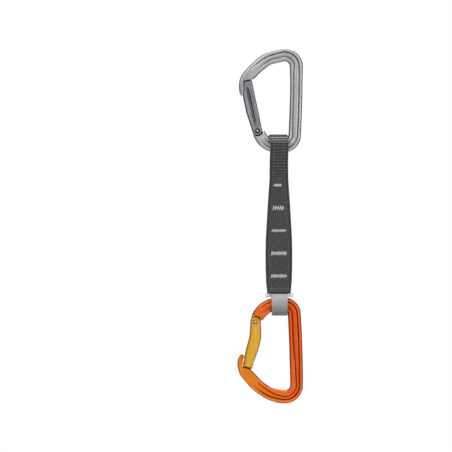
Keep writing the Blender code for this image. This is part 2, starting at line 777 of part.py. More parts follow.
def build():
    start_empty()
    parts = collection("climbing_quickdraw")
    tools = collection("cutters")
    steel = material("bright_steel", (0.62, 0.62, 0.64), 0.35, 1.0)
    upper_looks = {
        "frame": material("grey_anodised", (0.38, 0.38, 0.39), 0.35, 1.0),
        "gate": material("violet_grey_anodised", (0.11, 0.10, 0.14), 0.35, 1.0),
        "steel": steel,
    }
    lower_looks = {
        "frame": material("orange_anodised", (0.75, 0.12, 0.01), 0.35, 1.0),
        "gate": material("gold_anodised", (0.68, 0.40, 0.03), 0.35, 1.0),
        "steel": steel,
    }
    carabiner(
        "upper",
        upper_stations(),
        upper_gate_outline,
        UPPER_PIVOT,
        UPPER_GATE_REACH,
        (103.0, -58.0, UPPER_OPENING_DEG, (106.5, 98.5)),
        upper_looks,
        (parts, tools),
    )
    carabiner(
        "lower",
        lower_stations(),
        lower_gate_outline,
        LOWER_PIVOT,
        LOWER_GATE_REACH,
        (-92.0, 60.0, -LOWER_OPENING_DEG, (-105.5, -96.0)),
        lower_looks,
        (parts, tools),
    )
    band = sling_webbing(parts, tools)
    finish_piece(band, material("dark_grey_webbing", (0.06, 0.06, 0.06), 0.9))
    thread = material("light_grey_thread", (0.45, 0.45, 0.45), 0.8)
    for i, (x, z, width) in enumerate(BAR_TACKS, start=1):
        finish_piece(bar_tack(f"bar_tack_{i}", x, z, width, parts), thread)
    keeper = rubber_keeper(parts, tools)
    finish_piece(keeper, material("light_grey_rubber", (0.40, 0.40, 0.40), 0.6))


build()
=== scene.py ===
"""The looks of a climbing quickdraw: anodised carabiners, sewn webbing and a rubber keeper.

Every piece is built in metres in the row frame: +Z up, the front facing -Y, the gates on the -X side.
Shapes are described in millimetres in the XZ plane, as the CAD describes them, and are finer than its own.
"""

import math
from collections import namedtuple

import bmesh
import bpy
from mathutils import Matrix, Vector


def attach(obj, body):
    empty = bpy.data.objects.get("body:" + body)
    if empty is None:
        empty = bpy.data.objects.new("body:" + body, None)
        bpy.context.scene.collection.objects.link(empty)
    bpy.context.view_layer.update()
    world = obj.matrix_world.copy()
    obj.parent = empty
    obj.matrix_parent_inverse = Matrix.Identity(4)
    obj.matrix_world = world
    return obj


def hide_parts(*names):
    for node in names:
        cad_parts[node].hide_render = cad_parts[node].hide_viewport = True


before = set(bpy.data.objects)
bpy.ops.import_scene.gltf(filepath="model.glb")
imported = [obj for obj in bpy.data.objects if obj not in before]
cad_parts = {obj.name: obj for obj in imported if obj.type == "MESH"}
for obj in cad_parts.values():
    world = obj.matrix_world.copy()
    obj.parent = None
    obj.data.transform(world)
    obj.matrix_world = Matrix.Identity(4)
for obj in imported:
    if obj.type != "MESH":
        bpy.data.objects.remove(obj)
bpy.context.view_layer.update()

MM = 0.001

# One carabiner: its frame's stations (outward is the sign of its outer side), its gate's outline, pivot
# and reach, the directions of the gate and of the tang's stem, the opening angle, and the key's sweep
Plan = namedtuple(
    "Plan",
    "prefix stations outward outline pivot reach gate_deg stem_deg opening_deg key_sweep edge_r grooves",
)

# -------- sizes, in millimetres

RINGS_PER_STATION = 8  # rings of a forged frame between two of its stations
SECTION_SAMPLES = 3  # points of its section between two of the section's corners
ROUND_SEGMENTS = 48
EDGE_STEPS = 6  # round a moulded or milled edge
WELD = 0.01  # points closer than this become one
SWING_GAP = 0.4  # between a gate and its frame

BAR_W = 12.2
CROWN_W = 12.9
BAR_T = 9.8
CHANNEL = 2.2
WALL_RUN = 0.35  # half the width of the slope between a flange and the recess's floor
FLOOR_RIDGE = ((0.62, 0.66), (0.0, 0.48), (-0.62, 0.66))  # (share of the recess, share of its depth)

UPPER_PIVOT = (-25.8, -67.5)
UPPER_GATE_REACH = 50.0
UPPER_FORK_R = 4.9
UPPER_OPENING_DEG = 28.0
LOWER_PIVOT = (-27.6, -252.2)
LOWER_GATE_REACH = 46.0
LOWER_FORK_R = 5.3
LOWER_OPENING_DEG = 30.0

GATE_T = 9.0
GATE_EDGE_R = 2.2
ROUND_GATE_EDGE_R = 3.4
TANG_T = 3.4
TANG_R = 4.4
TANG_FLAT = 3.5
TANG_HALF_WIDTH = 3.9
TANG_STEM = 9.0
FORK_SLOT_T = 4.2
FORK_FLOOR = 4.9
SWING_ROOM = (1.0, 30.0, 6.1)  # from, to and half-width, along the gate from its pivot
RIVET_R = 1.5
RIVET_HEAD_R = 2.5
RIVET_HEAD_T = 0.7
RIVET_PROUD = 0.2
RIVET_GAP = 0.3
RIVET_SINK_GAP = 0.1
KEY_NECK_T = 2.6
KEY_HEAD_R = 2.3
KEY_DEPTH = 6.5
KEY_ROOT = 4.0  # how far the key's neck runs on into the frame
KEY_HEAD_STEPS = 24
KEY_STEPS = 8  # along its sweep
KEYHOLE_OUTWARD_DEG = 8.0
KEYHOLE_INWARD_DEG = 12.0
SEAT_INWARD_DEG = 7.0
SPRING_BORE_R = 1.7
SPRING_BORE_FROM = 3.0
SPRING_BORE_DEPTH = 18.5
GROOVE_SEGMENTS = 16
SIDE_SAMPLES = 4  # points of a gate's side between two of its corners

SLING_X = -5.0
PLY_T = 1.9
PLY_GAP = 0.3
BAND_SEGMENTS = 40  # across the band
# Along one side: over the upper loop, in to the sewn part, along it, out to the bar and round it
PATH_STEPS = (60, 90, 240, 70, 24)
PAST_BAR = 1.0  # from a bar's middle to where the two sides of its loop start to close in
TOP_BAR_Z = -81.6
TOP_LOOP_R = 9.0
LOW_BAR_Z = -235.4
LOW_LOOP_RY = 7.1
LOW_LOOP_RZ = 7.6
SEWN_TOP_Z = -113.0
SEWN_BOTTOM_Z = -213.0
SLING_WIDTHS = (
    (-70.0, 17.0),
    (-84.0, 17.4),
    (-100.0, 17.8),
    (-114.0, 18.2),
    (-140.0, 21.7),
    (-172.0, 25.5),
    (-186.0, 26.0),
    (-200.0, 25.8),
    (-214.0, 24.9),
    (-224.4, 22.8),
    (-224.8, 10.6),
    (-246.0, 10.6),
)
LEAN = 0.3  # of the band's upper part towards the spine
LEAN_FROM_Z = -75.0
LEAN_RUN = 5.0
LEAN_TO_Z = -84.0
LEAN_FADE = 13.0
LOOP_SPREAD = 1.2  # of the upper loop towards the gate
LOOP_SPREAD_RUN = 8.0
# Bar tacks: (x, z, width)
BAR_TACKS = (
    (-6.1, -120.0, 8.2),
    (-5.5, -142.1, 11.6),
    (-5.0, -164.1, 14.6),
    (-5.0, -186.1, 16.0),
    (-5.0, -208.1, 16.0),
)
TACK_HEIGHT = 3.4
TACK_DENT = 0.35
TACK_STITCHES = ((2.6, 5), (4.0, 5), (2.6, 7), (3.6, 8), (3.4, 8))  # each tack's height and number of teeth
STITCH_STEPS = 6
STITCH_BOW = 0.35
STITCH_UNEVEN = 0.16
THREAD_R = 0.42
WARP_PITCH = 0.62
WEFT_PITCH = 0.95
FINE_RIBS = (2.1, 0.35)  # pitch and strength, over the upper loop
FINE_RIBS_END_Z = -80.6
FINE_RIBS_FADE = 3.0
COARSE_RIBS = (2.9, 0.45)  # pitch and strength, below it
COARSE_RIBS_END_Z = -113.0
COARSE_RIBS_FADE = 6.0
FAINTEST_RIBS = 0.12
RIB_DEPTH = 0.22
BAND_TONE = 0.32
RIB_TONE = 0.34
CLOSING_STEP = 0.6  # from the band's last ring to its first
SELVEDGE_R = 0.8
SELVEDGE_LINE = (1.7, 0.6, 0.16)  # from the edge, reach, depth
# Bands along the selvedges: (from the edge, reach, how much lighter)
SELVEDGE_TONES = ((0.0, 0.8, 0.12), (1.6, 1.1, -0.20), (3.4, 0.9, 0.10))
# Lines across the band: (z, how much lighter). Over the hem they are painted light and shade
LINE_REACH = 0.8
LOOP_LINES = ((-73.4, -0.2), (-74.6, 2.6), (-75.6, -0.25), (-76.6, 1.9), (-77.6, -0.2), (-78.6, 0.9))
# The hem: a painted highlight on its ridge and painted shade in its groove and under its edge
HEM_LIGHT_AND_SHADE = ((-221.2, 0.30), (-222.1, -0.25), (-223.1, 0.35), (-224.1, -0.45))

KEEPER_X = -4.4
KEEPER_TOP_Z = -225.2
KEEPER_BOTTOM_Z = -246.6
KEEPER_WALL = 1.2
KEEPER_GAP = 0.3  # to the sling inside
KEEPER_TOP_W = 15.8
KEEPER_BOTTOM_W = 15.0
KEEPER_MOUTH_RY = 8.6
KEEPER_BAR_HOLE_R = 9.2
KEEPER_HIP_Z = LOW_BAR_Z + 5.0
KEEPER_RIDGES_DEG = (6.0, 26.0)  # down round the pocket from the bar's height
KEEPER_RIDGE_H = 0.45
KEEPER_RIDGE_REACH_DEG = 3.0
KEEPER_TAPER = 0.6  # of its sides above the bar
KEEPER_BOWL_STEPS = 90
KEEPER_VOXEL = 0.28
POCKET_LIFT = 6.0  # how far the pocket's cutting tool stands above the mouth
TAB_SPAN = 28.2
TAB_HEIGHT = 2.7
TAB_TIP_HEIGHT = 4.0
TAB_RISE = 1.1
TAB_T = 4.0
TAB_EDGE_R = 0.6

# -------- the stage, in metres and watts

FLOOR_R = 0.65
FLOOR_Z = -0.45
FLOOR_T = 0.004
SURROUND_BRIGHT = 0.95
SURROUND_DIM = 0.12
LIT_MIDDLE = (-0.015, 0.0, -0.16)
# Soft lights: (name, place, width and height, power)
LIGHTS = (
    ("key_light", (-0.7, -1.0, 0.6), (0.7, 0.9), 6.0),
    ("fill_light", (0.9, -0.8, 0.1), (0.5, 1.0), 5.0),
    ("rim_light", (0.1, 0.9, 0.7), (0.8, 0.5), 8.0),
    ("top_light", (-0.05, -0.25, 1.1), (0.5, 0.3), 2.5),
)
CAMERA_PLACE = (-0.0563, -2.5, -0.1596)
CAMERA_LENS = 205.3


# -------- mesh helpers


def add_object(name, data):
    obj = bpy.data.objects.new(name, data)
    bpy.context.scene.collection.objects.link(obj)
    return obj


def point(x, z, y=0.0):
    """A place given in millimetres."""
    return Vector((x, y, z)) * MM


def catmull_rom(before, start, end, after, t):
    return tuple(
        0.5 * (2 * b + (c - a) * t + (2 * a - 5 * b + 4 * c - d) * t * t + (3 * b - a - 3 * c + d) * t**3)
        for a, b, c, d in zip(before, start, end, after)
    )


def smooth_through(stations, samples):
    """A curve through the stations, whose numbers are all carried along it."""
    ends = [stations[0]] + list(stations) + [stations[-1]]
    curve = []
    for around in zip(ends, ends[1:], ends[2:], ends[3:]):
        curve += [catmull_rom(*around, i / samples) for i in range(samples)]
    return curve + [tuple(stations[-1])]


def smooth_ring(corners, samples):
    """A closed curve through the corners."""
    count = len(corners)
    curve = []
    for k in range(count):
        around = [corners[(k + step) % count] for step in (-1, 0, 1, 2)]
        curve += [catmull_rom(*around, i / samples) for i in range(samples)]
    return curve


def arc(centre, radius, start_deg, end_deg, steps):
    """Points along an arc in the XZ plane. 0 degrees is +X and 90 is +Z."""
    turns = [math.radians(start_deg + (end_deg - start_deg) * i / steps) for i in range(steps + 1)]
    return [(centre[0] + radius * math.cos(t), centre[1] + radius * math.sin(t)) for t in turns]


def mesh_object(name, bm):
    bmesh.ops.recalc_face_normals(bm, faces=bm.faces)
    mesh = bpy.data.meshes.new(name)
    bm.to_mesh(mesh)
    bm.free()
    return add_object(name, mesh)


def loft(name, rings, closed=False):
    """A solid through rings of points that all have the same count, capped unless it closes on itself."""
    bm = bmesh.new()
    rows = [[bm.verts.new(p) for p in ring] for ring in rings]
    pairs = list(zip(rows, rows[1:]))
    if closed:
        pairs.append((rows[-1], rows[0]))
    for row, following in pairs:
        for i in range(len(row)):
            j = (i + 1) % len(row)
            bm.faces.new((row[i], row[j], following[j], following[i]))
    if not closed:
        bm.faces.new(rows[0])
        bm.faces.new(rows[-1])
    return mesh_object(name, bm)


def as_mesh(obj):
    """The same shape with its modifiers applied and its points in the row frame."""
    bpy.context.view_layer.update()
    name = obj.name
    seen = obj.evaluated_get(bpy.context.evaluated_depsgraph_get())
    mesh = bpy.data.meshes.new_from_object(seen)
    mesh.transform(obj.matrix_world)
    bpy.data.objects.remove(obj)
    mesh.name = name
    return add_object(name, mesh)


def outline_solid(name, outline, half_thickness, edge_r=0.0):
    """A flat outline in the XZ plane, thickened along Y, with rounded edges."""
    curve = bpy.data.curves.new(name, "CURVE")
    curve.dimensions = "2D"
    curve.fill_mode = "BOTH"
    curve.extrude = (half_thickness - edge_r) * MM
    curve.bevel_depth = edge_r * MM
    curve.offset = -edge_r * MM
    curve.bevel_resolution = EDGE_STEPS
    spline = curve.splines.new("POLY")
    spline.points.add(len(outline) - 1)
    for spot, (x, z) in zip(spline.points, outline):
        spot.co = (x * MM, z * MM, 0.0, 1.0)
    spline.use_cyclic_u = True
    flat = add_object(name, curve)
    flat.rotation_euler = (math.pi / 2, 0.0, 0.0)
    solid = as_mesh(flat)
    weld(solid)
    return solid


def weld(obj):
    bm = bmesh.new()
    bm.from_mesh(obj.data)
    bmesh.ops.remove_doubles(bm, verts=bm.verts, dist=WELD * MM)
    bmesh.ops.recalc_face_normals(bm, faces=bm.faces)
    bm.to_mesh(obj.data)
    bm.free()


def cylinder(name, radius, start, end, segments=ROUND_SEGMENTS):
    """A round bar from start to end, in metres."""
    bm = bmesh.new()
    length = (end - start).length
    turn = (end - start).to_track_quat("Z", "Y").to_matrix().to_4x4()
    bmesh.ops.create_cone(
        bm,
        cap_ends=True,
        segments=segments,
        radius1=radius,
        radius2=radius,
        depth=length,
        matrix=Matrix.Translation((start + end) / 2) @ turn,
    )
    return mesh_object(name, bm)


def slab(name, centre, along, size):
    """A box lying along the gate: from, to, half-width in the plane and half-thickness, in millimetres."""
    low, high, half_width, half_thickness = size
    across = Vector((along.z, 0.0, -along.x))
    corners = ((low, -half_width), (high, -half_width), (high, half_width), (low, half_width))
    rings = [
        [centre + (along * a + across * c + Vector((0.0, y, 0.0))) * MM for a, c in corners]
        for y in (-half_thickness, half_thickness)
    ]
    return loft(name, rings)


def turned_about(obj, pivot, angle_deg):
    """Turns an object about a Y axis through the pivot."""
    swing = Matrix.Rotation(math.radians(angle_deg), 4, "Y")
    centre = Matrix.Translation(point(*pivot))
    obj.data.transform(centre @ swing @ centre.inverted())


def cut(target, tools, operation="DIFFERENCE"):
    """The target with the tools cut away or joined on. The tools are used up."""
    for tool in tools:
        step = target.modifiers.new(tool.name, "BOOLEAN")
        step.operation = operation
        step.solver = "MANIFOLD"
        step.object = tool
    made = as_mesh(target)
    for tool in tools:
        bpy.data.objects.remove(tool)
    return made


def smooth(obj, round_deg=32.0):
    obj.data.shade_smooth()
    obj.data.set_sharp_from_angle(angle=math.radians(round_deg))


def dress(obj, look, body, slot, *nodes):
    """Gives a piece its material, the body it rides on and the CAD nodes that it stands for."""
    obj.data.materials.clear()
    obj.data.materials.append(look)
    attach(obj, body)
    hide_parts(*nodes)


# -------- material helpers


def new_material(name):
    made = bpy.data.materials.new(name)
    made.use_nodes = True
    return made, made.node_tree, made.node_tree.nodes["Principled BSDF"]


def add_node(tree, kind, inputs=None, **settings):
    """A shader node. An input is given a value or another node's output."""
    made = tree.nodes.new(kind)
    for key, value in settings.items():
        setattr(made, key, value)
    for key, value in (inputs or {}).items():
        if isinstance(value, bpy.types.NodeSocket):
            tree.links.new(value, made.inputs[key])
        else:
            made.inputs[key].default_value = value
    return made


def object_place(tree, scale=(1.0, 1.0, 1.0)):
    """The place on the piece, in millimetres, times a scale."""
    place = add_node(tree, "ShaderNodeTexCoord").outputs["Object"]
    size = tuple(s / MM for s in scale)
    return add_node(tree, "ShaderNodeMapping", {"Vector": place, "Scale": size}).outputs["Vector"]


def noise(tree, place, scale, detail=3.0, roughness=0.5):
    inputs = {"Vector": place, "Scale": scale, "Detail": detail, "Roughness": roughness}
    return add_node(tree, "ShaderNodeTexNoise", inputs).outputs["Fac"]


def ramp(tree, value, low, high, to_low=0.0, to_high=1.0):
    """Takes value from low..high to to_low..to_high, and holds it there."""
    inputs = {"Value": value, "From Min": low, "From Max": high, "To Min": to_low, "To Max": to_high}
    return add_node(tree, "ShaderNodeMapRange", inputs).outputs["Result"]


def maths(tree, operation, first, second=0.0):
    return add_node(tree, "ShaderNodeMath", {0: first, 1: second}, operation=operation).outputs[0]


def mix_colour(tree, share, first, second, clamp=True):
    inputs = {0: share, 6: first, 7: second}
    return add_node(tree, "ShaderNodeMix", inputs, data_type="RGBA", clamp_factor=clamp).outputs[2]


def bump(tree, height, depth_mm, strength=1.0, normal=None):
    inputs = {"Height": height, "Distance": depth_mm * MM, "Strength": strength}
    if normal is not None:
        inputs["Normal"] = normal
    return add_node(tree, "ShaderNodeBump", inputs).outputs["Normal"]


def openness(tree, distance_mm, only_local=True):
    """How much of the space within that distance is open, 0..1."""
    inputs = {"Distance": distance_mm * MM}
    made = add_node(tree, "ShaderNodeAmbientOcclusion", inputs, only_local=only_local, samples=8)
    return made.outputs["AO"]


def colour(r, g, b):
    return (r, g, b, 1.0)


CONTACT_SHADE = colour(0.012, 0.006, 0.004)


# -------- materials


def depth_of(tree, vector):
    """The size of a vector's Y part: how far it goes towards the front or the back."""
    return maths(tree, "ABSOLUTE", add_node(tree, "ShaderNodeSeparateXYZ", {0: vector}).outputs["Y"])


def flange_tint(tree, place, flange, fade, streaks):
    """The flanges' tint, with painted light and shade changing it along a direction by fade, and drawn out
    in upright streaks.
    """
    if fade is not None:
        direction, start, end, painted_light_tint = fade
        reach = add_node(tree, "ShaderNodeVectorMath", {0: place, 1: direction}, operation="DOT_PRODUCT")
        flange = mix_colour(tree, ramp(tree, reach.outputs["Value"], start, end), flange, painted_light_tint)
    if streaks is not None:
        drawn = noise(tree, object_place(tree, (0.45, 0.45, 0.03)), 1.0, 2.0)
        flange = mix_colour(tree, ramp(tree, drawn, 0.42, 0.66), flange, streaks)
    return flange


def side_shade_mask(tree, hollow):
    """Where painted shade goes round the sides: 0 on the faces, 1 where the open surface turns to the side.
    """
    normal = add_node(tree, "ShaderNodeTexCoord").outputs["Normal"]
    aside = ramp(tree, depth_of(tree, normal), 0.5, 0.97, 1.0, 0.0)
    return maths(tree, "MULTIPLY", aside, ramp(tree, hollow, 0.75, 0.95))


def rubbed_edges(tree, place, wear):
    """Scuffs along the edges, as strong as wear."""
    edge = add_node(tree, "ShaderNodeNewGeometry").outputs["Pointiness"]
    scuffs = ramp(tree, noise(tree, place, 0.8), 0.42, 0.62)
    rubbed = maths(tree, "MULTIPLY", ramp(tree, edge, 0.52, 0.60), scuffs)
    return maths(tree, "MULTIPLY", rubbed, wear)


def anodised(
    name,
    flange,
    shaded_web,
    side,
    worn,
    wear=0.35,
    shade=0.8,
    streaks=None,
    fade=None,
    metallic=0.85,
    roughness=0.33,
):
    """Anodised aluminium: polished flanges, painted shade in the recesses and round the sides, fine
    grain, bare metal rubbed through on the edges, and painted shade where another piece lies close.

    fade holds a direction, where a painted change of light and shade starts and ends along it, and the tint
    it ends at.
    """
    look, tree, shader = new_material(name)
    place = object_place(tree)
    grain = noise(tree, place, 3.0, 2.0)
    clouds = noise(tree, place, 0.09, 3.0)
    hollow = openness(tree, 2.0)
    covered = maths(tree, "SUBTRACT", openness(tree, 5.0), openness(tree, 5.0, only_local=False))
    # Painted shade in the recesses: deeper places, and places the piece closes round, take the shaded web
    # tint
    face = ramp(tree, depth_of(tree, place), 2.8, 4.6, 0.35, 1.0)
    face = maths(tree, "MULTIPLY", face, ramp(tree, hollow, 0.35, 0.95, 0.2, 1.0))
    tint = mix_colour(tree, face, shaded_web, flange_tint(tree, place, flange, fade, streaks))
    tint = mix_colour(tree, ramp(tree, clouds, 0.35, 0.7, 0.0, 0.25), tint, shaded_web)
    # Painted shade and dark reflection round the sides, where the surface turns away from the front
    tint = mix_colour(tree, side_shade_mask(tree, hollow), tint, side)
    tint = mix_colour(tree, rubbed_edges(tree, place, wear), tint, worn)
    tint = mix_colour(tree, ramp(tree, covered, 0.12, 0.5, 0.0, shade), tint, CONTACT_SHADE)
    tree.links.new(tint, shader.inputs["Base Color"])
    rough = ramp(tree, grain, 0.2, 0.8, roughness - 0.05, roughness + 0.08)
    tree.links.new(rough, shader.inputs["Roughness"])
    tree.links.new(bump(tree, grain, 0.02, 0.35), shader.inputs["Normal"])
    shader.inputs["Metallic"].default_value = metallic
    return look


def steel_look(name, dull, bright, darkened_tint):
    """Turned stainless steel, darker where the piece is marked as darkened."""
    look, tree, shader = new_material(name)
    place = object_place(tree)
    rings = noise(tree, object_place(tree, (1.0, 14.0, 1.0)), 0.9, 2.0)
    darkened = add_node(tree, "ShaderNodeAttribute", attribute_name="darkened").outputs["Fac"]
    tint = mix_colour(tree, noise(tree, place, 0.5), dull, bright)
    tint = mix_colour(tree, darkened, tint, darkened_tint)
    tree.links.new(tint, shader.inputs["Base Color"])
    tree.links.new(ramp(tree, rings, 0.2, 0.8, 0.25, 0.45), shader.inputs["Roughness"])
    tree.links.new(bump(tree, rings, 0.02, 0.4), shader.inputs["Normal"])
    shader.inputs["Metallic"].default_value = 1.0
    return look


def webbing_look():
    """Dark grey polyester webbing, woven in a fine herringbone that runs along the band."""
    look, tree, shader = new_material("dark_grey_webbing_look")
    band = add_node(tree, "ShaderNodeUVMap", uv_map="band").outputs["UV"]
    parts = add_node(tree, "ShaderNodeSeparateXYZ", {0: band})
    across, along = parts.outputs["X"], parts.outputs["Y"]
    warp = maths(tree, "SINE", maths(tree, "MULTIPLY", across, 2 * math.pi / WARP_PITCH))
    weft = maths(tree, "SINE", maths(tree, "MULTIPLY", along, 2 * math.pi / WEFT_PITCH))
    weave = ramp(tree, maths(tree, "MULTIPLY", warp, weft), -1.0, 1.0)
    place = object_place(tree)
    fibres = noise(tree, place, 5.0, 3.0)
    lumps = noise(tree, place, 0.42, 2.0)
    # The tone carries the hem's painted highlight and shade among its other lines
    tone = add_node(tree, "ShaderNodeAttribute", attribute_name="tone").outputs["Fac"]
    tone = maths(tree, "ADD", tone, ramp(tree, weave, 0.0, 1.0, -0.05, 0.05))
    tone = maths(tree, "ADD", tone, ramp(tree, lumps, 0.35, 0.65, -0.06, 0.08))
    tone = maths(tree, "ADD", tone, ramp(tree, fibres, 0.5, 0.8, 0.0, 0.10))
    tone = maths(tree, "MAXIMUM", tone, 0.0)
    tint = mix_colour(tree, tone, colour(0.005, 0.005, 0.0052), colour(0.130, 0.130, 0.132), clamp=False)
    tree.links.new(tint, shader.inputs["Base Color"])
    tree.links.new(ramp(tree, fibres, 0.2, 0.8, 0.75, 0.95), shader.inputs["Roughness"])
    woven = bump(tree, weave, 0.12, 0.8)
    tree.links.new(bump(tree, fibres, 0.05, 0.5, woven), shader.inputs["Normal"])
    shader.inputs["Sheen Weight"].default_value = 0.06
    shader.inputs["Sheen Roughness"].default_value = 0.5
    shader.inputs["Specular IOR Level"].default_value = 0.25
    return look


def thread_look():
    """Twisted polyester sewing thread."""
    look, tree, shader = new_material("light_grey_thread_look")
    strands = noise(tree, object_place(tree, (1.0, 1.0, 0.35)), 4.0, 3.0)
    tint = mix_colour(tree, strands, colour(0.30, 0.30, 0.30), colour(0.58, 0.58, 0.58))
    tree.links.new(tint, shader.inputs["Base Color"])
    tree.links.new(bump(tree, strands, 0.05, 0.6), shader.inputs["Normal"])
    tree.links.new(ramp(tree, strands, 0.2, 0.8, 0.55, 0.8), shader.inputs["Roughness"])
    shader.inputs["Sheen Weight"].default_value = 0.2
    return look


def rubber_look():
    """Milky grey moulded rubber that lets some light through. Light and shade are painted into its tint:
    darker towards the bottom, darker still in its hollows, and lighter on its thin tabs.
    """
    look, tree, shader = new_material("light_grey_rubber_look")
    place = object_place(tree)
    grain = noise(tree, place, 4.0, 2.0)
    clouds = noise(tree, place, 0.2, 2.0)
    parts = add_node(tree, "ShaderNodeSeparateXYZ", {0: place})
    # Painted shade: the tint darkens towards the bottom
    height = ramp(tree, parts.outputs["Z"], KEEPER_BOTTOM_Z, KEEPER_TOP_Z - 3.0)
    height = maths(tree, "ADD", height, ramp(tree, clouds, 0.3, 0.7, -0.08, 0.08))
    hollow = openness(tree, 1.2)
    tint = mix_colour(tree, height, colour(0.088, 0.088, 0.09), colour(0.372, 0.372, 0.377))
    # Painted shade in the hollows
    tint = mix_colour(tree, ramp(tree, hollow, 0.4, 0.95, 0.5, 0.0), tint, colour(0.08, 0.08, 0.08))
    aside = maths(tree, "ABSOLUTE", maths(tree, "SUBTRACT", parts.outputs["X"], KEEPER_X))
    # Painted light let through the thin tabs
    on_tab = ramp(tree, aside, KEEPER_TOP_W / 2, KEEPER_TOP_W / 2 + 1.0)
    tint = mix_colour(tree, on_tab, tint, colour(0.74, 0.74, 0.745))
    tree.links.new(tint, shader.inputs["Base Color"])
    tree.links.new(ramp(tree, grain, 0.2, 0.8, 0.4, 0.6), shader.inputs["Roughness"])
    tree.links.new(bump(tree, grain, 0.03, 0.4), shader.inputs["Normal"])
    shader.inputs["Subsurface Weight"].default_value = 0.2
    shader.inputs["Subsurface Radius"].default_value = (1.0, 1.0, 1.0)
    shader.inputs["Subsurface Scale"].default_value = 1.0 * MM
    return look


# -------- forged frames


def bar_section(width, thickness, channel, recess, shift):
    """A forged bar as (across, along Y): rounded flanges with a recess of that half-width between them.

    The recess lies to one side of the bar's middle by shift, and is as deep as the channel says.
    """
    half_w, half_t = width / 2, thickness / 2
    channel = max(channel, 0.0)
    round_off = [(1.0, 0.0), (0.985, 0.34), (0.93, 0.64), (0.85, 0.85), (0.75, 0.96)]
    edge = [(u * half_w, v * half_t) for u, v in round_off]
    wall = [(WALL_RUN, 0.04), (WALL_RUN / 2, 0.35), (0.0, 0.8), (-WALL_RUN, 1.0)]
    near_wall = [(shift + recess + u, half_t - v * channel) for u, v in wall]
    far_wall = [(shift - recess - u, half_t - v * channel) for u, v in reversed(wall)]
    floor = [(shift + u * recess, half_t - v * channel) for u, v in FLOOR_RIDGE]
    front = edge + near_wall + floor + far_wall + [(-u, v) for u, v in reversed(edge)]
    return smooth_ring(front + [(u, -v) for u, v in reversed(front[1:-1])], SECTION_SAMPLES)


def forged_frame(name, stations, outward):
    """A bar through stations of x, z, width in the plane, thickness, channel, recess and outward shift."""
    curve = smooth_through(stations, RINGS_PER_STATION)
    rings = []
    for i, (x, z, width, thickness, channel, recess, shift) in enumerate(curve):
        before, after = curve[max(i - 1, 0)], curve[min(i + 1, len(curve) - 1)]
        along = Vector((after[0] - before[0], after[1] - before[1])).normalized()
        recess = min(recess, 0.5 * width / 2)
        section = bar_section(width, thickness, channel, recess, shift * outward)
        rings.append([point(x + u * along.y, z - u * along.x, v) for u, v in section])
    return loft(name, rings)


def upper_stations():
    """Each station is x, z, width in the plane, thickness, channel, recess and its outward shift."""
    nose = [
        (-40.7, -33.2, 1.8, 4.0, 0.0, 0.4, 0.0),
        (-41.3, -31.2, 3.0, 6.2, 0.0, 0.6, 0.0),
        (-41.4, -27.6, 4.8, 8.2, 0.0, 1.0, 0.0),
        (-39.8, -22.5, 8.4, 9.2, 0.0, 1.6, 0.0),
        (-37.0, -17.4, 11.4, 9.4, 0.0, 2.0, 0.0),
        (-32.4, -11.8, 12.2, 9.6, 0.1, 2.4, 0.0),
    ]
    shoulder = [(-25.6, -5.1, BAR_W, BAR_T, 1.2, 2.6, 0.0), (-15.8, 2.3, 12.6, BAR_T, CHANNEL, 2.4, 0.0)]
    crown = [(*p, CROWN_W, BAR_T, CHANNEL, 2.7, 0.2) for p in arc((0.35, -5.0), 11.5, 112, 0, 5)]
    plain = (BAR_W, BAR_T, CHANNEL, 3.3, 0.0)
    spine = [(11.9, -20.0, *plain), (11.7, -36.0, *plain), (11.1, -53.0, *plain)]
    bend = arc((0.1, -71.5), 10.2, 0, -90, 4)
    corner = [(*p, BAR_W + 0.2 * i, BAR_T, CHANNEL, 2.6, 0.4) for i, p in enumerate(bend)]
    basket = [
        (-5.6, -82.1, 12.9, BAR_T, 1.7, 2.6, 0.0),
        (-10.5, -81.8, 12.5, BAR_T, 1.7, 2.6, 0.0),
        (-14.9, -80.3, 12.5, BAR_T, 1.7, 2.6, 0.0),
        (-19.4, -77.1, 12.5, BAR_T, 1.1, 2.4, 0.0),
        (-22.5, -73.1, 12.2, 9.6, 0.1, 2.0, 0.0),
        (-24.3, -69.9, 11.8, 9.5, 0.0, 2.0, 0.0),
        (-25.6, -66.9, 11.2, 9.4, 0.0, 2.0, 0.0),
    ]
    return nose + shoulder + crown + spine + corner + basket


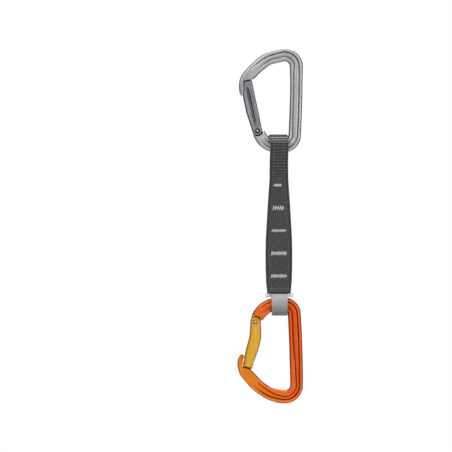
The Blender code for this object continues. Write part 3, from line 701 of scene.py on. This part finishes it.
def lower_stations():
    """The same, from the lower frame's nose round to its hinge."""
    nose = [
        (-39.8, -284.6, 2.0, 4.0, 0.0, 0.4, 0.0),
        (-40.7, -286.1, 4.8, 6.2, 0.0, 0.8, 0.0),
        (-41.6, -290.3, 7.0, 8.2, 0.0, 1.4, 0.0),
        (-41.0, -295.2, 8.4, 9.2, 0.0, 1.8, 0.0),
        (-38.0, -300.9, 11.2, 9.4, 0.0, 2.0, 0.0),
        (-32.6, -307.0, 12.2, 9.6, 0.1, 2.4, 0.0),
    ]
    slope = [
        (-25.9, -314.1, BAR_W, BAR_T, 1.2, 2.8, 0.0),
        (-15.9, -321.1, BAR_W, BAR_T, CHANNEL, 2.7, 0.2),
        (-6.7, -324.2, 13.2, BAR_T, CHANNEL, 2.3, 0.6),
    ]
    bend = arc((1.0, -314.0), 11.1, -90, 0, 4)
    basket = [(*p, 13.2 - 0.2 * i, BAR_T, CHANNEL, 2.0, 1.0) for i, p in enumerate(bend)]
    spine = [
        (11.9, -296.0, 12.8, BAR_T, CHANNEL, 2.4, 0.8),
        (11.45, -279.8, 12.8, BAR_T, CHANNEL, 2.9, 0.4),
        (10.8, -262.0, 12.8, BAR_T, CHANNEL, 3.1, 0.2),
    ]
    corner = [(*p, 12.7, BAR_T, CHANNEL, 2.8, 0.2) for p in arc((0.0, -245.0), 9.85, 0, 90, 4)]
    shoulder = [
        (-6.0, -235.4, 12.0, BAR_T, 1.7, 3.0, 0.0),
        (-13.4, -236.5, 12.4, BAR_T, 1.7, 3.2, 0.0),
        (-19.4, -240.2, 12.8, BAR_T, 1.1, 3.2, 0.0),
        (-23.9, -245.0, 12.4, 9.5, 0.1, 2.8, 0.0),
        (-26.0, -248.9, 11.8, 9.4, 0.0, 2.0, 0.0),
        (-27.0, -252.0, 11.6, 9.4, 0.0, 2.0, 0.0),
    ]
    return nose + slope + basket + spine + corner + shoulder


# -------- gates and hinges


def upper_gate_outline(grow=0.0, inward_deg=0.0):
    """The straight gate from the front. Its free end is an arc about the pivot, carried on inward."""
    free_end = arc(UPPER_PIVOT, UPPER_GATE_REACH + grow, 105.7, 97.0 - inward_deg, 20)
    fork_end = arc(UPPER_PIVOT, UPPER_FORK_R + grow, -10.0, -150.0, 24)
    outer = [(-36.6 - grow, -50.0), (-39.6 - grow, -36.2), (-39.9 - grow, -33.5)]
    inner = [(-31.0 + grow, -19.4), (-27.6 + grow, -36.2), (-24.5 + grow, -50.0)]
    return [*outer, *free_end, *inner, *fork_end]


def lower_gate_outline(grow=0.0, inward_deg=0.0):
    """The bent gate from the front. Its free end is an arc about the pivot, carried on inward."""
    fork_end = arc(LOWER_PIVOT, LOWER_FORK_R + grow, 180.0, 0.0, 28)
    free_end = arc(LOWER_PIVOT, LOWER_GATE_REACH + grow, -94.4 + inward_deg, -105.4, 20)
    inner = [
        (-22.0 + grow, -266.0),
        (-22.9 + grow, -272.0),
        (-25.0 + grow, -280.0),
        (-27.7 + grow, -287.6),
        (-30.6 + grow, -296.4),
    ]
    outer = [
        (-39.7 - grow, -294.0),
        (-37.4 - grow, -280.8),
        (-34.4 - grow, -269.6),
        (-33.3 - grow, -264.0),
    ]
    inner, outer = smooth_through(inner, SIDE_SAMPLES), smooth_through(outer, SIDE_SAMPLES)
    return [*fork_end, *inner, *free_end, *outer]


def key_sector(name, pivot, reach, start_deg, end_deg, grow):
    """The keylock key: a neck with a round head, turned about the pivot so that the gate clears it."""
    head = reach - KEY_DEPTH
    neck = KEY_NECK_T / 2 + grow
    head_r = KEY_HEAD_R + grow
    meet = math.degrees(math.asin(neck / head_r))
    profile = arc((0.0, head), head_r, 90.0 - meet, meet - 270.0, KEY_HEAD_STEPS)
    profile = [(neck, reach + KEY_ROOT), *profile, (-neck, reach + KEY_ROOT)]
    turns = [math.radians(start_deg + (end_deg - start_deg) * i / KEY_STEPS) for i in range(KEY_STEPS + 1)]
    rings = [
        [point(pivot[0] + r * math.cos(turn), pivot[1] + r * math.sin(turn), y) for y, r in profile]
        for turn in turns
    ]
    return loft(name, rings)


def tang_outline(pivot, gate_deg, stem_deg):
    """The plate between the fork's ears, with a flat for the plunger on its gate side."""
    half_flat = math.degrees(math.acos(TANG_FLAT / TANG_R))
    hip = math.degrees(math.acos(TANG_HALF_WIDTH / TANG_R))
    centre = Vector(pivot)
    stem = Vector((math.cos(math.radians(stem_deg)), math.sin(math.radians(stem_deg))))
    side = Vector((-stem.y, stem.x)) * TANG_HALF_WIDTH
    root = centre + stem * TANG_STEM
    flat_deg = stem_deg + (gate_deg - stem_deg) % 360.0
    before = arc(pivot, TANG_R, stem_deg + 90.0 - hip, flat_deg - half_flat, 10)
    after = arc(pivot, TANG_R, flat_deg + half_flat, stem_deg + 270.0 + hip, 10)
    return [tuple(root + side), *before, *after, tuple(root - side)]


def face_groove(name, path, face):
    """A long shallow groove tool lying on one face of a gate: path gives (x, z, half-width, depth)."""
    rings = []
    for i, (x, z, half, depth) in enumerate(path):
        before, after = path[max(i - 1, 0)], path[min(i + 1, len(path) - 1)]
        along = Vector((after[0] - before[0], after[1] - before[1])).normalized()
        ring = []
        for k in range(GROOVE_SEGMENTS):
            turn = 2 * math.pi * k / GROOVE_SEGMENTS
            side, out = half * math.cos(turn), depth * math.sin(turn)
            ring.append(point(x + side * along.y, z - side * along.x, face * (GATE_T / 2) + out))
        rings.append(ring)
    return loft(name, rings)


def groove_path(start, end, half, depth, steps=20):
    """A straight groove that tapers away at both ends."""
    path = []
    for i in range(steps + 1):
        t = i / steps
        fade = math.sqrt(max(1.0 - abs(2 * t - 1) ** 6, 0.0)) * 0.97 + 0.03
        x, z = start[0] + (end[0] - start[0]) * t, start[1] + (end[1] - start[1]) * t
        path.append((x, z, half * fade, depth * fade))
    return path


def gate_direction(plan):
    turn = math.radians(plan.gate_deg)
    return Vector((math.cos(turn), 0.0, math.sin(turn)))


def rivet_hole(plan):
    centre, depth = point(*plan.pivot), Vector((0.0, GATE_T * MM, 0.0))
    return cylinder("rivet_hole", (RIVET_R + RIVET_GAP) * MM, centre - depth, centre + depth)


def finer_frame(plan):
    """The forged frame with room for its gate to swing, its hinge tang and its keylock key."""
    body = forged_frame(f"{plan.prefix}_frame_look", plan.stations, plan.outward)
    tools = [outline_solid("gate_space", plan.outline(SWING_GAP, SEAT_INWARD_DEG), 2 * GATE_T)]
    for share in (0.5, 1.0):
        room = slab("swing_room", point(*plan.pivot), gate_direction(plan), (*SWING_ROOM, GATE_T))
        turned_about(room, plan.pivot, plan.opening_deg * share)
        tools.append(room)
    body = cut(body, tools)
    tang = outline_solid("tang", tang_outline(plan.pivot, plan.gate_deg, plan.stem_deg), TANG_T / 2)
    body = cut(body, [tang, key_sector("key", plan.pivot, plan.reach, *plan.key_sweep, 0.0)], "UNION")
    body = cut(body, [rivet_hole(plan)])
    smooth(body)
    return body


def finer_gate(plan):
    """The solid gate, forked for the tang, with its rivet sinks, its grooves, a blind bore for the spring
    and a keyhole that lets it turn past the key."""
    centre, along = point(*plan.pivot), gate_direction(plan)
    depth = Vector((0.0, GATE_T * MM, 0.0))
    gate = outline_solid(f"{plan.prefix}_gate_look", plan.outline(), GATE_T / 2, plan.edge_r)
    tools = [
        slab("fork_slot", centre, along, (-GATE_T, FORK_FLOOR, GATE_T, FORK_SLOT_T / 2)),
        rivet_hole(plan),
        cylinder(
            "spring_bore",
            SPRING_BORE_R * MM,
            centre + along * SPRING_BORE_FROM * MM,
            centre + along * SPRING_BORE_DEPTH * MM,
        ),
    ]
    for face in (-1.0, 1.0):
        sink_y = face * (GATE_T / 2 - RIVET_HEAD_T - RIVET_SINK_GAP)
        inner = centre + Vector((0.0, sink_y, 0.0)) * MM
        tools.append(cylinder("rivet_sink", (RIVET_HEAD_R + RIVET_GAP) * MM, inner, centre + face * depth))
        tools += [face_groove("groove", path, face) for path in plan.grooves]
    start, end = plan.key_sweep
    outward = math.copysign(1.0, start - end)
    widest = (start + outward * KEYHOLE_OUTWARD_DEG, end - outward * KEYHOLE_INWARD_DEG)
    tools.append(key_sector("keyhole", plan.pivot, plan.reach, *widest, SWING_GAP))
    gate = cut(gate, tools)
    smooth(gate)
    return gate


def rivet(name, centre):
    """A turned rivet along Y. Each head has a small domed middle with a groove round it, marked to be
    darker.
    """
    half = GATE_T / 2 + RIVET_PROUD
    under = half - RIVET_HEAD_T + RIVET_SINK_GAP
    dome = [(0.02, half, 0.0), (0.5, half - 0.05, 0.0), (0.9, half - 0.15, 0.0), (1.15, half - 0.5, 1.0)]
    rim = [(2.0, half - 0.5, 1.0), (2.25, half - 0.25, 0.5), (RIVET_HEAD_R, half - 0.4, 0.5)]
    profile = [*dome, *rim, (RIVET_HEAD_R, under, 1.0), (RIVET_R, under, 0.0)]
    profile += [(r, -y, darkened) for r, y, darkened in reversed(profile)]
    rings = []
    for i in range(ROUND_SEGMENTS):
        turn = 2 * math.pi * i / ROUND_SEGMENTS
        out = Vector((math.cos(turn), 0.0, math.sin(turn)))
        rings.append([centre + (out * r + Vector((0.0, y, 0.0))) * MM for r, y, _ in profile])
    made = loft(name, rings, closed=True)
    layer = made.data.attributes.new("darkened", "FLOAT", "POINT")
    layer.data.foreach_set("value", [darkened for _, _, darkened in profile] * ROUND_SEGMENTS)
    smooth(made, 40.0)
    return made


# -------- sling


def width_at(z):
    """The band's width at a height."""
    for (high, wide), (low, narrow) in zip(SLING_WIDTHS, SLING_WIDTHS[1:]):
        if z >= low:
            return wide + (narrow - wide) * held((high - z) / (high - low))
    return SLING_WIDTHS[-1][1]


def held(share):
    """The share, kept within 0..1."""
    return min(max(share, 0.0), 1.0)


def ease(share):
    """From 0 to 1 with a level start and end."""
    return share * share * (3 - 2 * share)


def sling_side():
    """The middle of the front ply from the top of the upper loop to the bottom of the lower one: (y, z)."""
    sewn = PLY_GAP / 2 + PLY_T / 2
    top = TOP_LOOP_R + PLY_T / 2
    low_y, low_z = LOW_LOOP_RY + PLY_T / 2, LOW_LOOP_RZ + PLY_T / 2
    over_loop, to_sewn, along_sewn, to_bar, round_bar = PATH_STEPS
    path = []
    for i in range(over_loop):
        turn = math.radians(90 + 90 * i / over_loop)
        path.append((top * math.cos(turn), TOP_BAR_Z + top * math.sin(turn)))
    for i in range(to_sewn + 1):
        z = TOP_BAR_Z - PAST_BAR + (SEWN_TOP_Z - TOP_BAR_Z + PAST_BAR) * i / to_sewn
        path.append((-top + (top - sewn) * ease(i / to_sewn), z))
    for i in range(1, along_sewn):
        path.append((-sewn, SEWN_TOP_Z + (SEWN_BOTTOM_Z - SEWN_TOP_Z) * i / along_sewn))
    for i in range(to_bar + 1):
        z = SEWN_BOTTOM_Z + (LOW_BAR_Z + PAST_BAR - SEWN_BOTTOM_Z) * i / to_bar
        path.append((-sewn - (low_y - sewn) * ease(i / to_bar), z))
    for i in range(round_bar + 1):
        turn = math.radians(180 + 90 * i / round_bar)
        path.append((low_y * math.cos(turn), LOW_BAR_Z + low_z * math.sin(turn)))
    return path


def near(value, centre, reach):
    """1 at the centre, falling smoothly to 0 at reach."""
    return ease(max(1.0 - abs(value - centre) / reach, 0.0))


def cross_ribs(z, distance):
    """The ribs across the band, -1..1: fine ones over the upper loop, then coarser ones that fade."""
    over_loop = held((z - FINE_RIBS_END_Z) / FINE_RIBS_FADE)
    below = (1.0 - over_loop) * max(held((z - COARSE_RIBS_END_Z) / COARSE_RIBS_FADE), FAINTEST_RIBS)
    (fine_pitch, fine), (coarse_pitch, coarse) = FINE_RIBS, COARSE_RIBS
    ribs = fine * over_loop * math.cos(2 * math.pi * distance / fine_pitch)
    return ribs + coarse * below * math.cos(2 * math.pi * z / coarse_pitch)


def band_tone(from_edge, z, distance):
    """How light the band is: its ribs, its selvedges, lines across the upper loop and the hem's painted
    highlight and shade.
    """
    tone = BAND_TONE + RIB_TONE * cross_ribs(z, distance)
    for at, reach, strength in SELVEDGE_TONES:
        tone += strength * near(from_edge, at, reach)
    for line_z, strength in LOOP_LINES + HEM_LIGHT_AND_SHADE:
        tone += strength * near(z, line_z, LINE_REACH)
    return tone


def band_face(side, half, z, distance, outer):
    """How far a face of the band stands from its middle, at side (-1..1) across it."""
    from_edge = half * (1 - abs(side))
    round_off = min(from_edge / SELVEDGE_R, 1.0)
    line_at, line_reach, line_depth = SELVEDGE_LINE
    height = PLY_T / 2 * math.sqrt(1 - (1 - round_off) ** 2)
    height -= line_depth * near(from_edge, line_at, line_reach)
    height -= RIB_DEPTH * (1.0 - cross_ribs(z, distance)) / 2 * round_off
    if outer:
        for tack_x, tack_z, width in BAR_TACKS:
            inside = near(z, tack_z, TACK_HEIGHT) * near(SLING_X + side * half, tack_x, width)
            height -= TACK_DENT * inside
    return height


def band_place(side, z):
    """How far from SLING_X the band is at side (-1..1), with its lean and its loop's spread."""
    leaning = ease(held((LEAN_FROM_Z - z) / LEAN_RUN)) * (1.0 - ease(held((LEAN_TO_Z - z) / LEAN_FADE)))
    spread = near(z, TOP_BAR_Z + TOP_LOOP_R, LOOP_SPREAD_RUN) * max(-side, 0.0)
    return side * width_at(z) / 2 + LEAN * leaning - LOOP_SPREAD * spread


def sling_webbing():
    """One band of webbing round both bars, with selvedges, ribs and the dents of the bar tacks."""
    front = sling_side()
    path = front + [(-y, z) for y, z in reversed(front[1:-1])]
    across = [-1.0 + 2.0 * i / BAND_SEGMENTS for i in range(BAND_SEGMENTS + 1)]
    distance, rings, places, tones = 0.0, [], [], []
    for i, (y, z) in enumerate(path):
        before, after = path[i - 1], path[(i + 1) % len(path)]
        along = Vector((after[0] - before[0], after[1] - before[1])).normalized()
        out = Vector((-along.y, along.x))
        half = width_at(z) / 2
        ring, marks = [], []
        for face, sides in ((-1, across), (1, list(reversed(across))[1:-1])):
            for side in sides:
                lift = face * band_face(side, half, z, distance, face < 0)
                if face < 0 and abs(side) == 1.0:
                    lift = 0.0
                ring.append(point(SLING_X + band_place(side, z), z + lift * out.y, y + lift * out.x))
                marks.append((side * half, distance))
                tones.append(band_tone(half * (1 - abs(side)), z, distance))
        rings.append(ring)
        places.append(marks)
        distance += math.dist((y, z), after)
    band = loft("sling_webbing_look", rings, closed=True)
    mark_band(band, places)
    layer = band.data.attributes.new("tone", "FLOAT", "POINT")
    layer.data.foreach_set("value", tones)
    smooth(band, 60.0)
    return band


def mark_band(band, places):
    """Keeps each point's place across and along the band, in millimetres, as a UV map.

    The faces that close the band run on past its end, not back to 0.
    """
    flat = [place for marks in places for place in marks]
    total = places[-1][0][1] + CLOSING_STEP
    layer = band.data.uv_layers.new(name="band")
    for face in band.data.polygons:
        spots = [flat[band.data.loops[k].vertex_index] for k in face.loop_indices]
        last = max(spot[1] for spot in spots)
        for k, (side, distance) in zip(face.loop_indices, spots):
            wrapped = distance + total if last - distance > total / 2 else distance
            layer.data[k].uv = (side, wrapped)


def stitched_tack(name, place, height, teeth):
    """A bar tack: an uneven zig-zag of thick thread on each face of the sling."""
    middle, z, width = place
    width -= 2 * THREAD_R
    surface = PLY_T + PLY_GAP / 2 - TACK_DENT
    count = 2 * teeth
    curve = bpy.data.curves.new(name, "CURVE")
    curve.dimensions = "3D"
    curve.bevel_depth = THREAD_R * MM
    curve.bevel_resolution = 3
    curve.use_fill_caps = True
    for face in (-1.0, 1.0):
        route = []
        for i in range(count):
            x = middle - width / 2 + width * i / count
            up = (1.0 if i % 2 else -1.0) * (1.0 + STITCH_UNEVEN * math.sin(5.3 * i + z))
            for k in range(STITCH_STEPS):
                share = k / STITCH_STEPS
                out = surface + STITCH_BOW * math.sin(math.pi * share)
                rise = up * height / 2 * (1 - 2 * share)
                route.append((x + width / count * share, face * out, z + rise))
        spline = curve.splines.new("POLY")
        spline.points.add(len(route) - 1)
        for spot, (x, y, high) in zip(spline.points, route):
            spot.co = (x * MM, y * MM, high * MM, 1.0)
    made = as_mesh(add_object(name, curve))
    smooth(made, 60.0)
    return made


# -------- keeper


def keeper_side(grow):
    """The keeper's outline seen from the side, open-topped: (y, z) from mouth to mouth."""
    half = LOW_LOOP_RY + PLY_T + KEEPER_GAP + KEEPER_WALL + grow
    mouth = KEEPER_MOUTH_RY + grow
    depth = LOW_BAR_Z - KEEPER_BOTTOM_Z + grow
    bowl = []
    for i in range(KEEPER_BOWL_STEPS + 1):
        down_deg = 180.0 * i / KEEPER_BOWL_STEPS
        from_rim = min(down_deg, 180.0 - down_deg)
        ridge = sum(near(from_rim, at, KEEPER_RIDGE_REACH_DEG) for at in KEEPER_RIDGES_DEG)
        turn, out = math.radians(-down_deg), KEEPER_RIDGE_H * ridge
        bowl.append(((half + out) * math.cos(turn), LOW_BAR_Z + (depth + out) * math.sin(turn)))
    hip = half - KEEPER_TAPER
    return [(mouth, KEEPER_TOP_Z), (hip, KEEPER_HIP_Z), *bowl, (-hip, KEEPER_HIP_Z), (-mouth, KEEPER_TOP_Z)]


def keeper_solid(name, grow, lift):
    """The keeper's side outline carried across it, narrower at the bottom."""
    rings = []
    for side in (-1.0, 1.0):
        ring = []
        for y, z in keeper_side(grow):
            share = (KEEPER_TOP_Z - z) / (KEEPER_TOP_Z - KEEPER_BOTTOM_Z)
            half = (KEEPER_TOP_W + (KEEPER_BOTTOM_W - KEEPER_TOP_W) * share) / 2 + grow
            up = lift if z >= KEEPER_TOP_Z else 0.0
            ring.append(point(KEEPER_X + side * half, z + up, y))
        rings.append(ring)
    return loft(name, rings)


def tab_outline():
    """Both side tabs as one strip across the keeper's mouth, a little deeper at the tips."""
    right = [
        (KEEPER_TOP_W / 2, -TAB_HEIGHT),
        (TAB_SPAN / 2 - 1.8, -TAB_TIP_HEIGHT),
        (TAB_SPAN / 2 - 0.4, -TAB_TIP_HEIGHT + 0.8),
        (TAB_SPAN / 2, -TAB_TIP_HEIGHT / 3),
        (TAB_SPAN / 2 - 0.7, 0.6 * TAB_RISE),
        (TAB_SPAN / 2 - 2.0, TAB_RISE),
    ]
    whole = right + [(-x, z) for x, z in reversed(right)]
    return [(KEEPER_X + x, KEEPER_TOP_Z + z) for x, z in whole]


def rubber_keeper():
    """A moulded rubber pocket over the sling's lower loop, with soft edges all round."""
    body = keeper_solid("rubber_keeper_look", 0.0, 0.0)
    start, end = point(KEEPER_X - TAB_SPAN, LOW_BAR_Z), point(KEEPER_X + TAB_SPAN, LOW_BAR_Z)
    body = cut(body, [cylinder("bar_hole", KEEPER_BAR_HOLE_R * MM, start, end)])
    body = cut(body, [outline_solid("tabs", tab_outline(), TAB_T / 2, TAB_EDGE_R)], "UNION")
    body = cut(body, [keeper_solid("pocket", -KEEPER_WALL, POCKET_LIFT)])
    grid = body.modifiers.new("grid", "REMESH")
    grid.mode = "VOXEL"
    grid.voxel_size = KEEPER_VOXEL * MM
    soft = body.modifiers.new("soft", "SMOOTH")
    soft.factor = 0.5
    soft.iterations = 4
    body = as_mesh(body)
    smooth(body, 180.0)
    return body


# -------- stage


def soft_light(name, place, size, power):
    data = bpy.data.lights.new(name, "AREA")
    data.shape = "RECTANGLE"
    data.size, data.size_y = size
    data.energy = power
    lamp = add_object(name, data)
    lamp.location = place
    lamp.rotation_euler = (Vector(LIT_MIDDLE) - Vector(place)).to_track_quat("-Z", "Y").to_euler()


def surround():
    """White to the camera. Its light is brightest from the front and above, and dim from the sides."""
    world = bpy.data.worlds.new("surround")
    bpy.context.scene.world = world
    world.use_nodes = True
    tree = world.node_tree
    towards = add_node(tree, "ShaderNodeTexCoord").outputs["Generated"]
    parts = add_node(tree, "ShaderNodeSeparateXYZ", {0: towards})
    sideways = maths(tree, "ABSOLUTE", parts.outputs["X"])
    glow = ramp(tree, sideways, 0.35, 0.95, SURROUND_BRIGHT, SURROUND_DIM)
    glow = maths(tree, "MULTIPLY", glow, ramp(tree, parts.outputs["Z"], -0.9, 0.3, 0.55, 1.0))
    seen = add_node(tree, "ShaderNodeLightPath").outputs["Is Camera Ray"]
    level = add_node(tree, "ShaderNodeMix", {0: seen, 2: glow, 3: 1.0}).outputs[0]
    sky = tree.nodes["Background"]
    sky.inputs["Color"].default_value = colour(1.0, 1.0, 1.0)
    tree.links.new(level, sky.inputs["Strength"])


def studio():
    """A pale round floor under the hanging quickdraw, a bright surround and soft lights."""
    surround()
    for light in LIGHTS:
        soft_light(*light)
    under, top = Vector((0.0, 0.0, FLOOR_Z - FLOOR_T)), Vector((0.0, 0.0, FLOOR_Z))
    floor = cylinder("floor", FLOOR_R, under, top, 2 * ROUND_SEGMENTS)
    look, tree, shader = new_material("pale_floor")
    place = object_place(tree)
    tint = mix_colour(tree, noise(tree, place, 0.05), colour(0.84, 0.84, 0.84), colour(0.87, 0.87, 0.87))
    tree.links.new(tint, shader.inputs["Base Color"])
    shader.inputs["Roughness"].default_value = 0.8
    floor.data.materials.append(look)


def camera():
    data = bpy.data.cameras.new("camera")
    data.sensor_width = 36.0
    data.lens = CAMERA_LENS
    made = add_object("camera", data)
    made.location = CAMERA_PLACE
    made.rotation_euler = (math.pi / 2, 0.0, 0.0)
    data.clip_end = 20.0
    bpy.context.scene.camera = made


# -------- the quickdraw


def upper_plan():
    return Plan(
        prefix="upper",
        stations=upper_stations(),
        outward=-1.0,
        outline=upper_gate_outline,
        pivot=UPPER_PIVOT,
        reach=UPPER_GATE_REACH,
        gate_deg=103.0,
        stem_deg=-58.0,
        opening_deg=UPPER_OPENING_DEG,
        key_sweep=(106.5, 98.5),
        edge_r=GATE_EDGE_R,
        grooves=[groove_path((-36.0, -24.5), (-27.6, -62.5), 1.4, 1.4)],
    )


def lower_plan():
    return Plan(
        prefix="lower",
        stations=lower_stations(),
        outward=1.0,
        outline=lower_gate_outline,
        pivot=LOWER_PIVOT,
        reach=LOWER_GATE_REACH,
        gate_deg=-92.0,
        stem_deg=60.0,
        opening_deg=-LOWER_OPENING_DEG,
        key_sweep=(-105.5, -96.0),
        edge_r=ROUND_GATE_EDGE_R,
        grooves=[],
    )


def grey_look():
    return anodised(
        "grey_anodised_look",
        flange=colour(0.47, 0.47, 0.48),
        shaded_web=colour(0.29, 0.29, 0.296),
        side=colour(0.19, 0.19, 0.194),
        worn=colour(0.7, 0.7, 0.71),
        # Painted shade: darker towards the nose
        fade=((-1.0, 0.0, 0.0), 26.0, 40.0, colour(0.33, 0.33, 0.335)),
    )


def violet_look():
    return anodised(
        "violet_grey_anodised_look",
        flange=colour(0.24, 0.232, 0.26),
        shaded_web=colour(0.026, 0.025, 0.034),
        side=colour(0.13, 0.127, 0.143),
        worn=colour(0.5, 0.5, 0.53),
        wear=0.2,
        # Painted light: lighter on the gate's outer rib, beyond its groove
        fade=((-0.976, 0.0, -0.216), 41.6, 43.4, colour(0.35, 0.35, 0.365)),
    )


def orange_look():
    return anodised(
        "orange_anodised_look",
        flange=colour(0.78, 0.135, 0.020),
        shaded_web=colour(0.46, 0.050, 0.002),
        side=colour(0.34, 0.038, 0.002),
        worn=colour(0.85, 0.42, 0.25),
        shade=0.65,
        # Painted light and shade: redder and darker at the shoulder and spine, brighter and yellower
        # towards the nose and slope
        fade=((-0.8, 0.0, -0.3), 86.0, 116.0, colour(0.78, 0.23, 0.012)),
    )


def gold_look():
    return anodised(
        "gold_anodised_look",
        flange=colour(0.61, 0.305, 0.014),
        shaded_web=colour(0.55, 0.29, 0.03),
        side=colour(0.45, 0.21, 0.010),
        streaks=colour(0.72, 0.40, 0.02),
        worn=colour(0.88, 0.68, 0.35),
        wear=0.1,
        shade=0.45,
        metallic=0.4,
        roughness=0.45,
    )


def bright_steel_look():
    dull, bright, darkened_tint = colour(0.42, 0.42, 0.44), colour(0.62, 0.62, 0.63), colour(0.03, 0.03, 0.03)
    return steel_look("bright_steel_look", dull, bright, darkened_tint)


def warm_steel_look():
    dull, bright, darkened_tint = colour(0.66, 0.47, 0.20), colour(0.80, 0.60, 0.30), colour(0.42, 0.24, 0.05)
    return steel_look("warm_steel_look", dull, bright, darkened_tint)


def carabiner(plan, looks, slots):
    """One carabiner's finer pieces in their looks. Its plunger and spring keep the CAD's shape."""
    prefix, centre = plan.prefix, point(*plan.pivot)
    frame_look, gate_look, steel = looks
    dress(finer_frame(plan), frame_look, f"{prefix}_carabiner", slots[0], f"{prefix}_frame")
    dress(finer_gate(plan), gate_look, f"{prefix}_gate", slots[1], f"{prefix}_gate")
    pin = rivet(f"{prefix}_gate_rivet_look", centre)
    dress(pin, steel, f"{prefix}_carabiner", "bright_steel", f"{prefix}_gate_rivet")
    for node in (f"{prefix}_gate_plunger", f"{prefix}_gate_spring"):
        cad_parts[node].data.materials[0] = steel


def sling():
    """The webbing, its bar tacks and its rubber keeper."""
    dress(sling_webbing(), webbing_look(), "sling", "dark_grey_webbing", "sling_webbing")
    thread = thread_look()
    for i, (place, (height, teeth)) in enumerate(zip(BAR_TACKS, TACK_STITCHES), start=1):
        tack = stitched_tack(f"bar_tack_{i}_look", place, height, teeth)
        dress(tack, thread, "sling", "light_grey_thread", f"bar_tack_{i}")
    dress(rubber_keeper(), rubber_look(), "sling", "light_grey_rubber", "rubber_keeper")


def build():
    camera()
    studio()
    upper_looks = (grey_look(), violet_look(), bright_steel_look())
    carabiner(upper_plan(), upper_looks, ("grey_anodised", "violet_grey_anodised"))
    lower_looks = (orange_look(), gold_look(), warm_steel_look())
    carabiner(lower_plan(), lower_looks, ("orange_anodised", "gold_anodised"))
    sling()


build()
bpy.context.scene.view_settings.view_transform = "Standard"
